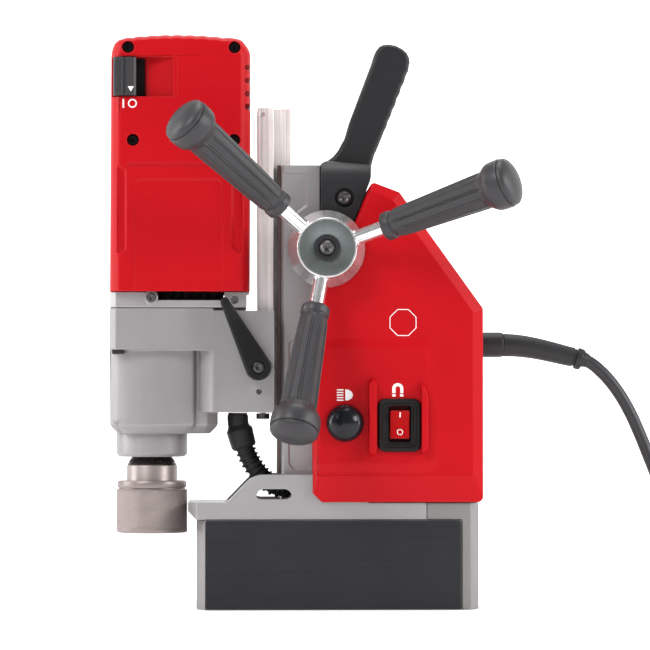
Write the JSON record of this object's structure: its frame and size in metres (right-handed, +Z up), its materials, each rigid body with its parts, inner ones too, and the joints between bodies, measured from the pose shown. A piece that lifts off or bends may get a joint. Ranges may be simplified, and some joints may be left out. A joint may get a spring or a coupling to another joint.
{
  "type": "magnetic drill press",
  "caption": "Portable electromagnet-base drilling machine: slab magnet foot, cast column, vertical motor on a steel slide, three-spoke feed hub, carrying handle and mains lead.",
  "frame": {"origin": "centre of the magnet foot's flat working face", "axes": "+Z up, away from the work; +X to the rear, where the mains lead leaves; -Y the operator's side with the feed hub"},
  "size_m": [0.5288, 0.2597, 0.3857],
  "materials": {
    "magnet_steel": "ground steel",
    "copper_winding": "enamelled copper",
    "resin": "cast resin",
    "dark_panel": "dark, fine brushed grain",
    "cast_aluminium": "fine cast, satin",
    "gearbox_aluminium": "satin painted casting",
    "bronze": "machined",
    "red_plastic": "satin moulded",
    "black_plastic": "satin moulded",
    "rubber": "matte",
    "cord_rubber": "matte",
    "conduit_rubber": "matte",
    "button_rubber": "glossy",
    "circuit_board": "lacquered",
    "dark_screw": "black oxide",
    "red_switch": "glossy",
    "polished_steel": "polished",
    "chrome": "bright",
    "grip_plastic": "satin moulded, fluted",
    "slide_steel": "ground along its length",
    "lamination": "laminated",
    "satin_steel": "satin nickel, knurled"
  },
  "bodies": {
    "stand": {"magnet_body": "magnet_steel", "magnet_coil": "copper_winding", "coil_potting": "resin", "side_panel_front": "dark_panel", "side_panel_rear": "dark_panel", "stand_casting": "cast_aluminium", "gib_front": "bronze", "gib_rear": "bronze", "pinion_bush_front": "bronze", "pinion_bush_rear": "bronze", "stand_cover": "red_plastic", "light_switch_body": "black_plastic", "switch_frame": "rubber", "control_board": "circuit_board", "carry_handle": "black_plastic", "handle_screw": "dark_screw", "cord_gland": "rubber", "cord_boot": "rubber", "power_cord": "cord_rubber", "cord_coil": "cord_rubber", "plug_body": "rubber", "plug_blade_live": "bronze", "plug_blade_neutral": "bronze", "plug_earth_pin": "bronze", "flex_conduit": "conduit_rubber"},
    "rocker": {"magnet_rocker": "red_switch"},
    "button": {"light_button": "button_rubber"},
    "feed_wheel": {"pinion_shaft": "polished_steel", "feed_hub": "polished_steel", "hub_ring": "black_plastic", "hub_screw": "dark_screw", "spoke_a": "chrome", "spoke_b": "chrome", "spoke_c": "chrome", "grip_a": "grip_plastic", "grip_b": "grip_plastic", "grip_c": "grip_plastic"},
    "carriage": {"slide_rail": "slide_steel", "rail_stop_screw": "dark_screw", "feed_rack": "polished_steel"},
    "drill_unit": {"gearbox_housing": "gearbox_aluminium", "gear_plate": "gearbox_aluminium", "gear_plate_screw": "dark_screw", "motor_housing": "red_plastic", "stator": "lamination", "motor_screw_1": "dark_screw", "motor_screw_2": "dark_screw", "motor_screw_3": "dark_screw", "motor_screw_4": "dark_screw", "spindle_bearing": "polished_steel", "conduit_boot": "conduit_rubber"},
    "power_slider": {"motor_switch": "black_plastic"},
    "lever": {"clamp_lever": "black_plastic", "lever_screw": "dark_screw"},
    "rotor": {"armature": "lamination"},
    "idler": {"idler_gear": "polished_steel"},
    "spindle": {"spindle_gear": "polished_steel", "spindle_shaft": "polished_steel", "arbor_body": "satin_steel"},
    "sleeve": {"knurled_sleeve": "satin_steel"}
  },
  "joints": [
    {"name": "feed_slide", "type": "slide", "parent": "stand", "child": "carriage", "axis": [0, 0, 1], "range_m": [-0.033, 0.105], "deforming": ["flex_conduit"]},
    {"name": "feed_hub_turn", "type": "hinge", "parent": "stand", "child": "feed_wheel", "pos_m": [-0.0085, -0.05, 0.2411], "axis": [0, 1, 0], "range_deg": [-158, 502]},
    {"name": "motor_height_adjust", "type": "slide", "parent": "carriage", "child": "drill_unit", "axis": [0, 0, 1], "range_m": [0, 0.06], "deforming": ["flex_conduit"]},
    {"name": "clamp_lever_turn", "type": "hinge", "parent": "drill_unit", "child": "lever", "pos_m": [-0.0537, -0.045, 0.162], "axis": [0, -1, 0], "range_deg": [0, 60]},
    {"name": "motor_switch_slide", "type": "slide", "parent": "drill_unit", "child": "power_slider", "axis": [-1, 0, 0], "range_m": [0, 0.0055]},
    {"name": "light_button_press", "type": "slide", "parent": "stand", "child": "button", "axis": [0, 1, 0], "range_m": [0, 0.003], "stiffness_N_per_m": 900, "springref_m": -0.001},
    {"name": "magnet_switch_rock", "type": "hinge", "parent": "stand", "child": "rocker", "pos_m": [0.0406, -0.0446, 0.12465], "axis": [-1, 0, 0], "range_deg": [0, 16]},
    {"name": "armature_turn", "type": "hinge", "parent": "drill_unit", "child": "rotor", "pos_m": [-0.108, 0, 0.2], "axis": [0, 0, 1], "continuous": true},
    {"name": "idler_turn", "type": "hinge", "parent": "drill_unit", "child": "idler", "pos_m": [-0.10696, 0.01677, 0.19], "axis": [0, 0, 1], "continuous": true},
    {"name": "spindle_turn", "type": "hinge", "parent": "drill_unit", "child": "spindle", "pos_m": [-0.1255, 0, 0.1], "axis": [0, 0, 1], "continuous": true},
    {"name": "sleeve_twist", "type": "hinge", "parent": "spindle", "child": "sleeve", "pos_m": [-0.1255, 0, 0.07], "axis": [0, 0, 1], "range_deg": [0, 40], "stiffness_Nm_per_rad": 0.2, "springref_deg": -17.19}
  ],
  "couplings": [
    {"joint": "feed_hub_turn", "follows": "feed_slide", "rad_per_m": 83.333},
    {"joint": "idler_turn", "follows": "armature_turn", "ratio": -0.2},
    {"joint": "spindle_turn", "follows": "armature_turn", "ratio": 0.05}
  ]
}
